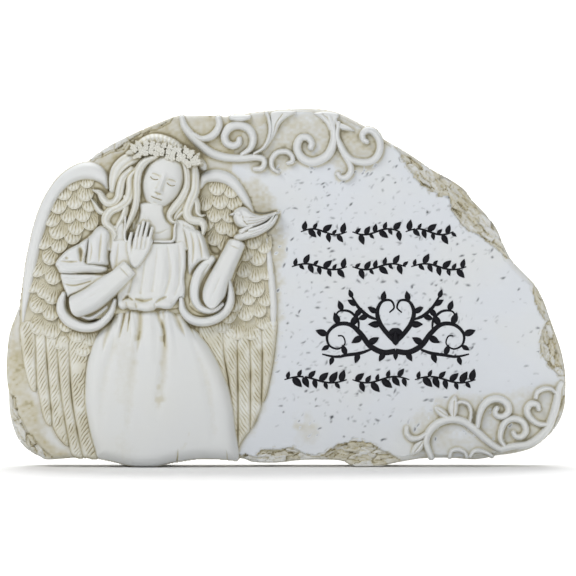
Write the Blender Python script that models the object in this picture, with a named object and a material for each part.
"""Angel garden stone: an upright cast-resin slab that carries an angel in high relief.

Every raised element is its own casting, bedded on the slab's front face with a thin glue line.
The stone stands on two flat feet on its lower edge. +Z is up, the front faces -Y, and the
origin is at the centre of the footprint, on the ground. Left and right are the viewer's.
Outlines and centre lines are (x, z) points in millimetres on the slab's front face.
"""

import math

import bmesh
import bpy
from mathutils import Matrix, Vector

MM = 0.001

SLAB_FRONT = -7.0
SLAB_BACK = 21.0
SLAB_EDGE = 2.4
GLUE_GAP = 0.3
CUT_DEPTH = 40.0
RIB_SIDES = 2
STEPS_PER_SPAN = 3

SLAB_OUTLINE = [
    (-152.3, 58), (-149.8, 75), (-145, 92), (-142.7, 103), (-138.4, 124), (-134, 136.6),
    (-129.7, 147), (-121, 158.8), (-112, 164.4), (-103.6, 170.4), (-90.5, 178), (-76, 185),
    (-61, 190.7), (-40, 191.2), (-20.8, 192.6), (-4, 194.7), (10, 195.4), (25, 193.8),
    (40, 187.2), (57.6, 175.8), (75, 164.9), (92.4, 154.6), (101, 145.3), (113, 132),
    (119, 120), (127, 107.8), (136, 98.4), (142.5, 84.5), (149, 65.9), (152.1, 50),
    (151.6, 33), (144.7, 18.5), (134, 10.2), (114, 6), (96, 4.4), (75, 4.6), (61, 2.4),
]
RIGHT_FOOT = [(52, 0), (37, 0)]
BETWEEN_FEET = [(22, 3.2), (5, 3.4), (-8, 2.2), (-22, 3.6), (-46, 5), (-58, 3.2)]
LEFT_FOOT = [(-66, 0), (-82, 0)]
SLAB_LOWER_LEFT = [(-92, 2.6), (-112, 4.8), (-129.7, 4), (-138.4, 7.6), (-147.1, 17), (-151, 33)]

LIMESTONE = ("cast_stone", (0.62, 0.62, 0.58), 0.72)
PALE = ("pale_wash", (0.68, 0.69, 0.67), 0.6)
KHAKI = ("antique_wash", (0.56, 0.54, 0.45), 0.75)


def clear_scene():
    for old in list(bpy.data.objects):
        bpy.data.objects.remove(old, do_unlink=True)


def new_collection(name):
    collection = bpy.data.collections.new(name)
    bpy.context.scene.collection.children.link(collection)
    return collection


def finish_of(kind):
    """The Principled material of this kind, made once."""
    name, colour, roughness = kind
    made = bpy.data.materials.get(name)
    if made is None:
        made = bpy.data.materials.new(name)
        made.use_nodes = True
        shader = made.node_tree.nodes["Principled BSDF"]
        shader.inputs["Base Color"].default_value = (*colour, 1)
        shader.inputs["Roughness"].default_value = roughness
        shader.inputs["Metallic"].default_value = 0
        made.diffuse_color = (*colour, 1)
    return made


def smooth_line(points, closed=False):
    """Points along a Catmull-Rom curve through the given ones."""
    count = len(points)
    spans = count if closed else count - 1
    line = []
    for i in range(spans):
        if closed:
            a, b, c, d = (Vector(points[(i + k) % count]) for k in (-1, 0, 1, 2))
        else:
            b, c = Vector(points[i]), Vector(points[i + 1])
            a = Vector(points[i - 1]) if i else 2 * b - c
            d = Vector(points[i + 2]) if i + 2 < count else 2 * c - b
        for step in range(STEPS_PER_SPAN):
            t = step / STEPS_PER_SPAN
            line.append(
                0.5 * ((2 * b) + (c - a) * t + (2 * a - 5 * b + 4 * c - d) * t * t
                       + (3 * b - a - 3 * c + d) * t * t * t)
            )
    if not closed:
        line.append(Vector(points[-1]))
    return line


def ease(line, reaches, closed=False):
    """Rounds the bends that are too tight for an edge or a side this far from the line."""
    count = len(line)
    inner = range(count) if closed else range(1, count - 1)
    for _ in range(200):
        tight = []
        for i in inner:
            before, after = line[i] - line[i - 1], line[(i + 1) % count] - line[i]
            room = 0.42 * min(before.length, after.length)
            if reaches[i] * math.tan(before.angle(after, 0) / 2) > room:
                tight.append(i)
        if not tight:
            break
        for i in tight:
            line[i] = (line[i - 1] + 2 * line[i] + line[(i + 1) % count]) / 4
    return line


def upright(obj, depth_mm):
    """Turns a shape drawn in XY to stand in XZ, facing -Y, at this depth."""
    obj.matrix_world = Matrix.Translation((0, depth_mm * MM, 0)) @ Matrix.Rotation(math.pi / 2, 4, "X")


def drawn_curve(name, line, closed, radii=None):
    """A curve object through the points of a line, in millimetres."""
    curve = bpy.data.curves.new(name, "CURVE")
    curve.dimensions = "2D" if closed else "3D"
    spline = curve.splines.new("POLY")
    spline.points.add(len(line) - 1)
    for i, (x, z) in enumerate(line):
        spline.points[i].co = (x * MM, z * MM, 0, 1)
        spline.points[i].radius = radii[i] * MM if radii else 1
    spline.use_cyclic_u = closed
    obj = bpy.data.objects.new(name, curve)
    parts.objects.link(obj)
    return obj


def as_mesh(obj, stretch=1.0):
    """Replaces a curve object by its welded mesh, in world space."""
    bpy.context.view_layer.update()
    evaluated = obj.evaluated_get(bpy.context.evaluated_depsgraph_get())
    mesh = bpy.data.meshes.new_from_object(evaluated)
    work = bmesh.new()
    work.from_mesh(mesh)
    if stretch != 1:
        bmesh.ops.scale(work, vec=(1, 1, stretch), verts=work.verts)
    bmesh.ops.transform(work, matrix=obj.matrix_world, verts=work.verts)
    bmesh.ops.remove_doubles(work, verts=work.verts, dist=1e-6)
    bmesh.ops.recalc_face_normals(work, faces=work.faces)
    work.to_mesh(mesh)
    work.free()
    name, old = obj.name, obj.data
    bpy.data.objects.remove(obj)
    bpy.data.curves.remove(old)
    made = bpy.data.objects.new(name, mesh)
    parts.objects.link(made)
    return made


def trim_back(obj, plane_mm):
    """Cuts off what lies behind a plane parallel to the slab's face, and closes the cut."""
    work = bmesh.new()
    work.from_mesh(obj.data)
    cut = bmesh.ops.bisect_plane(
        work, geom=[*work.verts, *work.edges, *work.faces], dist=1e-7,
        plane_co=(0, plane_mm * MM, 0), plane_no=(0, 1, 0), clear_outer=True,
    )
    rim = [e for e in cut["geom_cut"] if isinstance(e, bmesh.types.BMEdge)]
    bmesh.ops.edgeloop_fill(work, edges=rim)
    bmesh.ops.recalc_face_normals(work, faces=work.faces)
    work.to_mesh(obj.data)
    work.free()


def boss_solid(name, line, height, edge, grow=0.0):
    """A flat-backed casting of this outline, with its front edge rounded."""
    obj = drawn_curve(name, line, closed=True)
    curve = obj.data
    curve.fill_mode = "BOTH"
    curve.bevel_depth = edge * MM
    curve.bevel_resolution = 1
    curve.extrude = (height - edge) * MM
    curve.offset = (grow - edge) * MM
    upright(obj, SLAB_FRONT)
    return as_mesh(obj)


def rib_solid(name, line, radii, stretch):
    """A half-round rib along a line; stretch is its height over its half width."""
    obj = drawn_curve(name, line, closed=False, radii=radii)
    obj.data.bevel_depth = 1
    obj.data.bevel_resolution = RIB_SIDES
    obj.data.use_fill_caps = True
    upright(obj, SLAB_FRONT)
    return as_mesh(obj, stretch)


def boolean(obj, other, operation):
    modifier = obj.modifiers.new(operation.lower(), "BOOLEAN")
    modifier.operation = operation
    modifier.solver = "EXACT"
    modifier.object = other
    bpy.context.view_layer.update()
    evaluated = obj.evaluated_get(bpy.context.evaluated_depsgraph_get())
    mesh = bpy.data.meshes.new_from_object(evaluated)
    obj.modifiers.clear()
    old = obj.data
    obj.data = mesh
    bpy.data.meshes.remove(old)


def keep_largest_body(obj):
    """Drops the crumbs that a cut leaves, and keeps the one body."""
    work = bmesh.new()
    work.from_mesh(obj.data)
    left = set(work.verts)
    bodies = []
    while left:
        front = [left.pop()]
        body = list(front)
        while front:
            for edge in front.pop().link_edges:
                for vert in edge.verts:
                    if vert in left:
                        left.remove(vert)
                        front.append(vert)
                        body.append(vert)
        bodies.append(body)
    bodies.sort(key=len)
    for body in bodies[:-1]:
        bmesh.ops.delete(work, geom=body, context="VERTS")
    bmesh.ops.dissolve_degenerate(work, dist=2e-6, edges=work.edges)
    bmesh.ops.triangulate(work, faces=work.faces)
    work.to_mesh(obj.data)
    work.free()


def box_of(obj):
    corners = [v.co for v in obj.data.vertices]
    return [(min(c[i] for c in corners), max(c[i] for c in corners)) for i in (0, 2)]


def boxes_meet(a, b):
    return all(p[0] < q[1] and q[0] < p[1] for p, q in zip(box_of(a), box_of(b)))


def place(obj, kind, room):
    """Makes a finished casting: clear of those in front of it, and leaving its own room."""
    for cutter in cutters.objects:
        if boxes_meet(obj, cutter):
            boolean(obj, cutter, "DIFFERENCE")
    keep_largest_body(obj)
    obj.data.materials.clear()
    obj.data.materials.append(finish_of(kind))
    for cutter in room:
        parts.objects.unlink(cutter)
        cutters.objects.link(cutter)
        cutter.hide_render = True
        cutter.display_type = "WIRE"


def boss(name, outline, height, edge=1.6, kind=PALE):
    line = smooth_line(outline, closed=True)
    line = ease(line, [edge + GLUE_GAP] * len(line), closed=True)
    solid = boss_solid(name, line, height, edge)
    trim_back(solid, SLAB_FRONT - GLUE_GAP)
    place(solid, kind, [boss_solid(f"room_{name}", line, CUT_DEPTH, 0.05, GLUE_GAP)])


def width_line(widths, count):
    """The half widths at count points, read from the few that are given."""
    found = []
    for i in range(count):
        place_along = i * (len(widths) - 1) / (count - 1)
        k = min(int(place_along), len(widths) - 2)
        share = place_along - k
        found.append(widths[k] * (1 - share) + widths[k + 1] * share)
    return found


def rib_pair(name, points, widths, height):
    """A rib, and the tall swollen copy that makes room for it."""
    line = smooth_line(points)
    radii = width_line(widths, len(line))
    line = ease(line, [radius + GLUE_GAP for radius in radii])
    stretch = height / max(widths)
    solid = rib_solid(name, line, radii, stretch)
    trim_back(solid, SLAB_FRONT - GLUE_GAP)
    room = rib_solid(f"room_{name}", line, [r + GLUE_GAP for r in radii], CUT_DEPTH / max(widths))
    return solid, room


def rib(name, points, widths, height, kind=PALE):
    solid, room = rib_pair(name, points, widths, height)
    place(solid, kind, [room])


def spray(name, ribs, height, kind=PALE):
    """Ribs that grow out of each other, joined into one casting."""
    pairs = [rib_pair(f"{name}_{i}", points, widths, height) for i, (points, widths) in enumerate(ribs)]
    stem = pairs[0][0]
    for branch, _ in pairs[1:]:
        boolean(stem, branch, "UNION")
        bpy.data.objects.remove(branch)
    stem.name = name
    place(stem, kind, [room for _, room in pairs])


def make_slab():
    line = smooth_line(SLAB_OUTLINE + RIGHT_FOOT[:1], closed=False)
    line += [Vector(RIGHT_FOOT[1])]
    line += smooth_line(BETWEEN_FEET)
    line += [Vector(LEFT_FOOT[0]), Vector(LEFT_FOOT[1])]
    line += smooth_line(SLAB_LOWER_LEFT)
    depth = SLAB_BACK - SLAB_FRONT
    slab = drawn_curve("stone_slab", line, closed=True)
    curve = slab.data
    curve.fill_mode = "BOTH"
    curve.bevel_depth = SLAB_EDGE * MM
    curve.bevel_resolution = 1
    curve.extrude = (depth / 2 - SLAB_EDGE) * MM
    curve.offset = -SLAB_EDGE * MM
    upright(slab, (SLAB_FRONT + SLAB_BACK) / 2)
    slab = as_mesh(slab)
    keep_largest_body(slab)
    slab.data.materials.append(finish_of(LIMESTONE))


def make_hands_and_dove():
    boss("left_hand", [
        (-86.5, 110.5), (-85.6, 118), (-85.2, 126.5), (-83.2, 128.6), (-81.2, 126),
        (-78.6, 130.6), (-75, 135), (-71.8, 134.6), (-70.8, 128), (-73, 119.5),
        (-76.5, 113), (-80.2, 108.6),
    ], 12.5, 1.8)
    rib("left_forearm", [(-110, 90.5), (-104, 93), (-98, 96), (-91, 101), (-86, 105.5)],
        [7.6, 8.4, 7.6, 6.4, 5.2], 14.0)
    boss("dove", [
        (-30, 138.8), (-27.5, 141), (-24, 141), (-20.5, 138.4), (-15, 137.6), (-9, 138.6),
        (-4.6, 138.8), (-7, 135.6), (-12, 132.4), (-18, 130.4), (-23, 130.2), (-27, 133.6),
    ], 9.5, 1.4)
    rib("right_hand", [(-26.4, 125.4), (-21, 126.8), (-14.5, 128.2), (-9, 131.4), (-5.8, 135)],
        [2.9, 2.8, 2.4, 1.9, 1.2], 8.4)
    rib("right_forearm", [(-40.5, 91), (-38.6, 97.5), (-35, 106), (-30.6, 114.5), (-27.4, 120.6)],
        [5.6, 6.9, 6.3, 5.2, 4.2], 12.6)


def make_head():
    bpy.ops.mesh.primitive_uv_sphere_add(segments=20, ring_count=12, radius=1)
    head = bpy.context.object
    for owner in list(head.users_collection):
        owner.objects.unlink(head)
    parts.objects.link(head)
    head.name = "head"
    place_head = (
        Matrix.Translation((-67 * MM, SLAB_FRONT * MM, 154.6 * MM))
        @ Matrix.Rotation(math.radians(20), 4, "Y")
        @ Matrix.Diagonal((12.2 * MM, 13.2 * MM, 15.2 * MM, 1))
    )
    room = head.copy()
    room.data = head.data.copy()
    room.name = "room_head"
    parts.objects.link(room)
    head.data.transform(place_head)
    grown = Matrix.Diagonal((12.5 * MM, CUT_DEPTH * MM, 15.5 * MM, 1))
    room.data.transform(
        Matrix.Translation((-67 * MM, SLAB_FRONT * MM, 154.6 * MM))
        @ Matrix.Rotation(math.radians(20), 4, "Y") @ grown
    )
    trim_back(head, SLAB_FRONT - GLUE_GAP)
    place(head, PALE, [room])


def make_hair():
    boss("flower_wreath", [
        (-81.4, 170.6), (-79, 176), (-71, 177), (-63, 176), (-55, 174.2), (-50.4, 170),
        (-49.4, 165), (-53, 164.6), (-58, 165.6), (-64, 167.6), (-71, 169), (-76, 170),
    ], 11.6, 1.2)
    rib("left_face_lock", [
        (-80.8, 161), (-83.2, 157), (-84, 150), (-84.4, 145), (-87.4, 140.8), (-92, 139),
        (-96.6, 137.6), (-98.2, 134.4), (-96.2, 131), (-93.2, 128.4), (-91.8, 125.4),
    ], [1.6, 2.7, 2.5, 2.7, 3.2, 2.6, 1.2], 8.6)
    rib("left_swept_lock", [
        (-76, 167.4), (-82, 165.6), (-87.6, 163), (-91, 158.4), (-92, 152.6), (-91.6, 147.6),
        (-93.8, 144), (-97.4, 144.8), (-99.4, 148.4), (-102.4, 149.8), (-104.6, 148),
    ], [2.6, 3.6, 3.6, 3.2, 2.9, 2.2, 1.1], 8.8)
    boss("crown_hair", [
        (-79.6, 175), (-77, 178), (-71, 180.6), (-63.5, 181), (-56.6, 178.4), (-51.4, 173),
        (-49.2, 167), (-56, 171), (-66, 173.6), (-74, 174.2),
    ], 9.0, 1.4)
    rib("right_face_lock", [
        (-51.6, 164), (-50.8, 158), (-49.8, 153), (-51.6, 147.6), (-55.4, 143), (-59.4, 138.4),
    ], [1.8, 2.4, 3.3, 4.4, 4.6, 4.0], 8.8)
    rib("right_curl", [
        (-57.4, 136.2), (-55.4, 133.6), (-51, 132.8), (-46.8, 134), (-44, 132.4), (-44.4, 127.6),
    ], [2.2, 2.6, 2.8, 2.5, 1.1], 7.8)


def make_robe():
    rib("neckline_trim_left", [(-88.4, 134.4), (-88, 129), (-87.6, 124.4), (-85, 123.2)],
        [1.0, 1.2], 8.8)
    rib("neckline_trim_right", [(-73.5, 122.6), (-67, 122.8), (-61.4, 123.8), (-60.2, 127), (-60.4, 132.6)],
        [1.2, 1.1], 8.8)
    boss("neck", [
        (-86.6, 134), (-82, 140), (-76, 143), (-66, 142), (-63.6, 136), (-60.8, 133),
        (-61, 124.6), (-72, 123.4), (-85.6, 124.6),
    ], 7.2, 1.2)
    boss("left_shoulder", [
        (-107.6, 125.4), (-104.4, 129.6), (-100, 131.6), (-96.4, 129.4), (-94.4, 124),
        (-94.6, 114), (-97, 108), (-104, 110.4), (-109, 111), (-108.6, 118),
    ], 10.0, 2.2)
    boss("right_shoulder", [
        (-57.4, 131.6), (-52, 131.4), (-47, 128.6), (-44, 124), (-42.4, 118), (-40.4, 114.6),
        (-45.4, 112.4), (-50, 108.4), (-52.8, 104.4), (-54, 112), (-54.6, 122),
    ], 9.6, 2.0)
    rib("left_cape_upper_fold", [
        (-110, 121.6), (-115, 118), (-119.6, 113.4), (-118.6, 109.6), (-111, 108.8), (-103, 108),
        (-97.6, 106.6),
    ], [1.4, 3.0, 3.8, 3.2, 2.6, 2.0, 1.2], 9.4)
    rib("left_cape_lower_fold", [(-118.8, 94.6), (-117.6, 99.4), (-112, 102.6), (-105, 103.8), (-99, 104.4)],
        [1.2, 3.2, 3.2, 2.0, 0.9], 8.8)
    rib("left_sleeve_loop", [
        (-122.6, 92), (-123, 86), (-120, 80.4), (-114, 76.4), (-107, 75.6), (-101, 78),
        (-96.6, 83), (-94, 88), (-92.6, 92),
    ], [1.6, 3.0, 2.6, 2.4, 2.2, 2.0, 1.2], 8.4)
    rib("right_sleeve_inner_loop", [
        (-41, 111.2), (-46.4, 106), (-50, 99), (-51.4, 91.6), (-49.6, 85.6), (-45, 82.6),
        (-40, 83.4), (-35.6, 86.6),
    ], [1.6, 2.8, 2.8, 2.8, 2.4, 1.6, 1.0], 8.8)
    rib("right_sleeve_outer_loop", [
        (-57, 88.6), (-58.8, 84), (-56, 79.4), (-50.4, 77), (-43.6, 77.6), (-37.4, 80.4),
        (-32.2, 85), (-29.8, 91), (-29, 98),
    ], [1.4, 2.2, 2.2, 2.2, 1.8, 1.0], 8.2)
    boss("bodice", [
        (-94, 124), (-91, 131.6), (-88, 134), (-84, 128), (-74, 122), (-62, 124), (-59, 133),
        (-55.6, 130), (-54.4, 118), (-54, 106), (-55.6, 97), (-56.4, 92), (-60.6, 88.6),
        (-66, 87.4), (-74, 86.2), (-82, 87.2), (-90, 87.2), (-92.4, 91), (-90, 100),
        (-94, 112),
    ], 9.4, 1.6)
    boss("skirt", [
        (-103, 72.4), (-106.4, 65), (-108.6, 57), (-109.8, 46), (-109.8, 34), (-108.4, 22),
        (-105.8, 11), (-103.4, 5.2), (-94, 3.2), (-86, 1.2), (-80, 0.2), (-70, 0.2), (-62, 2.2),
        (-55, 4.4), (-40, 5), (-27.4, 4.4), (-26.4, 10), (-27.4, 20), (-28.6, 30), (-31, 40),
        (-34.4, 50), (-38.8, 60), (-44, 68.4), (-50.6, 75), (-58, 81), (-66, 85.4), (-80, 85.6),
        (-90, 85), (-96.6, 79),
    ], 10.2, 3.2)


def make_scrolls():
    spray("top_left_scroll", [
        ([(-57.2, 189.4), (-55, 184), (-50.6, 177.6), (-44, 172.2), (-36, 169), (-28, 168),
          (-21, 168.2), (-15.6, 167.8), (-13.2, 165.2), (-14.6, 162.4), (-17.6, 162)],
         [1.6, 2.3, 2.3, 2.3, 2.3, 1.6, 0.8]),
        ([(-37, 189.4), (-36.3, 185.6), (-38.6, 181), (-43, 178.8), (-48, 179), (-52.6, 181.6)],
         [2.0, 2.0]),
        ([(-21.4, 170), (-18.8, 174), (-18.6, 180), (-21.4, 185), (-26.6, 186.6), (-31.8, 184.4),
          (-33.6, 179.6), (-31.4, 175.6), (-28, 176)], [1.9, 2.0, 2.0, 2.0, 2.2]),
        ([(-18.6, 170.4), (-13, 174.6), (-9.6, 180), (-7.4, 186), (-5.2, 191)], [1.4, 1.8, 2.6, 3.2]),
    ], 4.4)
    spray("top_middle_scroll", [
        ([(-4.8, 160.4), (-7.6, 162.6), (-8, 166.6), (-5.4, 170), (-1, 171), (2, 169.4), (2.2, 166.8)],
         [1.0, 1.8, 1.9, 1.8, 1.0]),
    ], 4.0)
    spray("top_right_scroll", [
        ([(17.4, 191.6), (22.4, 189.4), (25, 184), (25.6, 178), (24.2, 172.4), (20, 167.4),
          (14, 165.6), (8.6, 167.4), (6.2, 172), (7, 177), (10.4, 179.2), (13.2, 177.6), (13, 174.6)],
         [1.4, 2.0, 2.0, 2.0, 2.0, 1.8]),
        ([(25.4, 187), (28, 181), (31, 175), (35, 169), (39.6, 166.4), (45, 166.4), (49.6, 169),
          (51.4, 174), (50.4, 179), (46.8, 182.6), (43.2, 181.8), (42.4, 178.8)],
         [1.8, 1.9, 1.9, 1.9, 1.4]),
        ([(33.6, 171), (35.4, 166), (35.6, 161), (33.6, 157.8), (30.6, 157.4), (28.6, 159.6)],
         [1.9, 1.9, 1.9, 1.2]),
    ], 4.2)
    spray("corner_arch_scroll", [
        ([(115.6, 10), (110, 13.6), (104, 18.8), (98, 23.4), (91.4, 26), (85, 25.2), (79.6, 21),
          (77, 14.6), (77.6, 8)], [1.2, 1.9, 1.9, 1.9, 1.9]),
        ([(78.4, 19.6), (74, 16.6), (70, 15.4), (67, 17.2), (66.4, 20.4)], [1.8, 1.9, 1.2]),
        ([(94, 25.6), (91, 29.4), (89.4, 33), (90.4, 36.6)], [1.6, 2.0, 1.4]),
        ([(93, 26), (88.4, 29), (83, 31)], [1.6, 1.8, 0.9]),
        ([(100, 22.6), (102, 28), (101, 32.6), (97, 35)], [1.6, 1.8, 1.2]),
        ([(101.8, 21.4), (105, 26.4), (106.8, 31.6), (110.4, 35.6), (115, 36.8), (119.2, 34.8),
          (120.4, 31), (118.2, 28.2), (115.6, 28.8)], [1.8, 2.0, 2.0, 2.0, 1.6]),
    ], 4.2)
    spray("corner_side_scroll", [
        ([(118, 9.8), (125, 10.8), (132.6, 13), (139, 18), (143.4, 25), (146.2, 33), (148.2, 41), (149.4, 47)],
         [1.0, 2.0, 2.3, 2.3, 2.0, 1.4]),
        ([(126, 11), (119.6, 13.4), (117.2, 18), (118.2, 23), (122.4, 26), (127, 25), (129.6, 21),
          (128, 17.6), (125, 18.2)], [1.6, 1.9, 1.9, 1.9, 1.6]),
        ([(143, 27), (138.6, 25), (134.2, 26.8), (132, 30.6), (133.6, 33.6), (136, 32.6)],
         [1.8, 1.9, 1.9, 1.4]),
        ([(148, 43), (143.4, 41.8), (139.4, 40.2), (137.4, 37.6)], [1.8, 1.8, 1.2]),
    ], 4.2)


def make_wings():
    boss("left_wing_arch", [
        (-97.4, 153), (-98.4, 160), (-102, 164.6), (-107.6, 165.4), (-114, 161.6), (-121.4, 156.4),
        (-128.6, 146), (-133.6, 133.6), (-137.6, 121), (-140.4, 108), (-142.6, 96), (-144, 86),
        (-143, 78), (-140, 90), (-137.6, 104), (-134.8, 118), (-130.8, 131), (-125.4, 143),
        (-118.6, 153), (-112, 158), (-107, 158), (-103.6, 154.4), (-101, 151.6),
    ], 6.4, 1.4)
    boss("right_wing_arch", [
        (-48, 152), (-47, 157.6), (-43.4, 161.4), (-37, 162.4), (-30.6, 160.6), (-26, 156.6),
        (-21.8, 149.6), (-17.6, 141.4), (-20, 140.6), (-24.4, 146.6), (-29, 152.6), (-34.6, 155.4),
        (-39.6, 155.2), (-43, 151),
    ], 6.0, 1.2)
    boss("left_wing_coverts", [
        (-104, 153), (-107.4, 157), (-112, 157), (-118, 152.4), (-125, 142), (-130.4, 130.4),
        (-134.4, 117.6), (-137.2, 104), (-139.6, 90), (-142.6, 77), (-137, 72), (-131, 72),
        (-127, 69), (-123.6, 65), (-118, 66), (-112, 61), (-106, 60), (-104, 74), (-108, 90),
        (-110, 110), (-105, 124), (-99, 131), (-98, 142), (-100, 150),
    ], 4.6, 0.9, KHAKI)
    boss("right_wing_upper_coverts", [
        (-43, 150), (-39.6, 154.4), (-34.6, 154.6), (-29, 151.6), (-24, 145), (-21, 140),
        (-24, 132), (-25, 126), (-28, 120), (-36, 112), (-42, 113), (-46, 124), (-50, 136), (-48, 146),
    ], 4.4, 0.9, KHAKI)
    boss("right_wing_lower_coverts", [
        (-24, 122), (-16, 124.4), (-11.6, 123), (-9.4, 112), (-7.6, 100), (-6.6, 88), (-6.6, 80),
        (-11, 74.6), (-16, 70), (-21, 70.4), (-26, 69), (-32, 71), (-40, 73.6), (-46, 75),
        (-40, 86), (-34, 98), (-30, 110),
    ], 4.4, 0.9, KHAKI)
    left_feathers = [
        [(-143.4, 75), (-142.4, 62), (-140.4, 50), (-136.6, 41.6), (-135.8, 50), (-136.2, 62), (-136.6, 71)],
        [(-135.6, 71), (-135.2, 58), (-134.6, 44), (-133.4, 31), (-128.6, 22.4), (-128.4, 32),
         (-129.6, 46), (-130.6, 60), (-131.2, 71)],
        [(-130.4, 70), (-129.6, 56), (-128.2, 41), (-127.2, 26), (-121.2, 14), (-121.4, 26),
         (-123.6, 42), (-124.8, 56), (-125.4, 65)],
        [(-124.6, 64), (-123.8, 50), (-122, 34), (-120, 19), (-117, 8), (-112.8, 6), (-114.8, 20),
         (-117.2, 35), (-118.4, 50), (-118.8, 65)],
        [(-118, 65), (-117.6, 50), (-116, 35), (-113.6, 19), (-111, 6.2), (-104.6, 6), (-108, 20),
         (-109.6, 34), (-110, 48), (-111, 60)],
    ]
    right_feathers = [
        [(-12.4, 73), (-12.6, 60), (-12.8, 46), (-12.4, 36), (-10.2, 42), (-8.2, 54), (-6.6, 66), (-6.6, 78)],
        [(-19.4, 69), (-19.4, 50), (-19.2, 34), (-19.2, 22.4), (-15.6, 29), (-13.8, 37), (-13.6, 52), (-13.4, 70)],
        [(-25.8, 68.6), (-25.8, 46), (-26.2, 34), (-28, 28), (-28.6, 18), (-26, 13), (-21.4, 19), (-20.2, 30),
         (-20.2, 50), (-20.2, 69)],
        [(-33.6, 71), (-33, 60), (-32.6, 50), (-33, 42), (-31.4, 33), (-27.4, 31), (-26.6, 42), (-26.6, 69)],
        [(-46, 74), (-46, 62), (-40, 50), (-34.4, 44), (-32.8, 48), (-33.6, 58), (-34.4, 71)],
    ]
    for side, feathers in (("left", left_feathers), ("right", right_feathers)):
        for number, outline in enumerate(feathers, 1):
            boss(f"{side}_flight_feather_{number}", outline, 4.2, 0.8, KHAKI)


clear_scene()
parts = new_collection("angel_garden_stone")
cutters = new_collection("cutters")
make_slab()
make_hands_and_dove()
make_head()
make_hair()
make_robe()
make_wings()
make_scrolls()
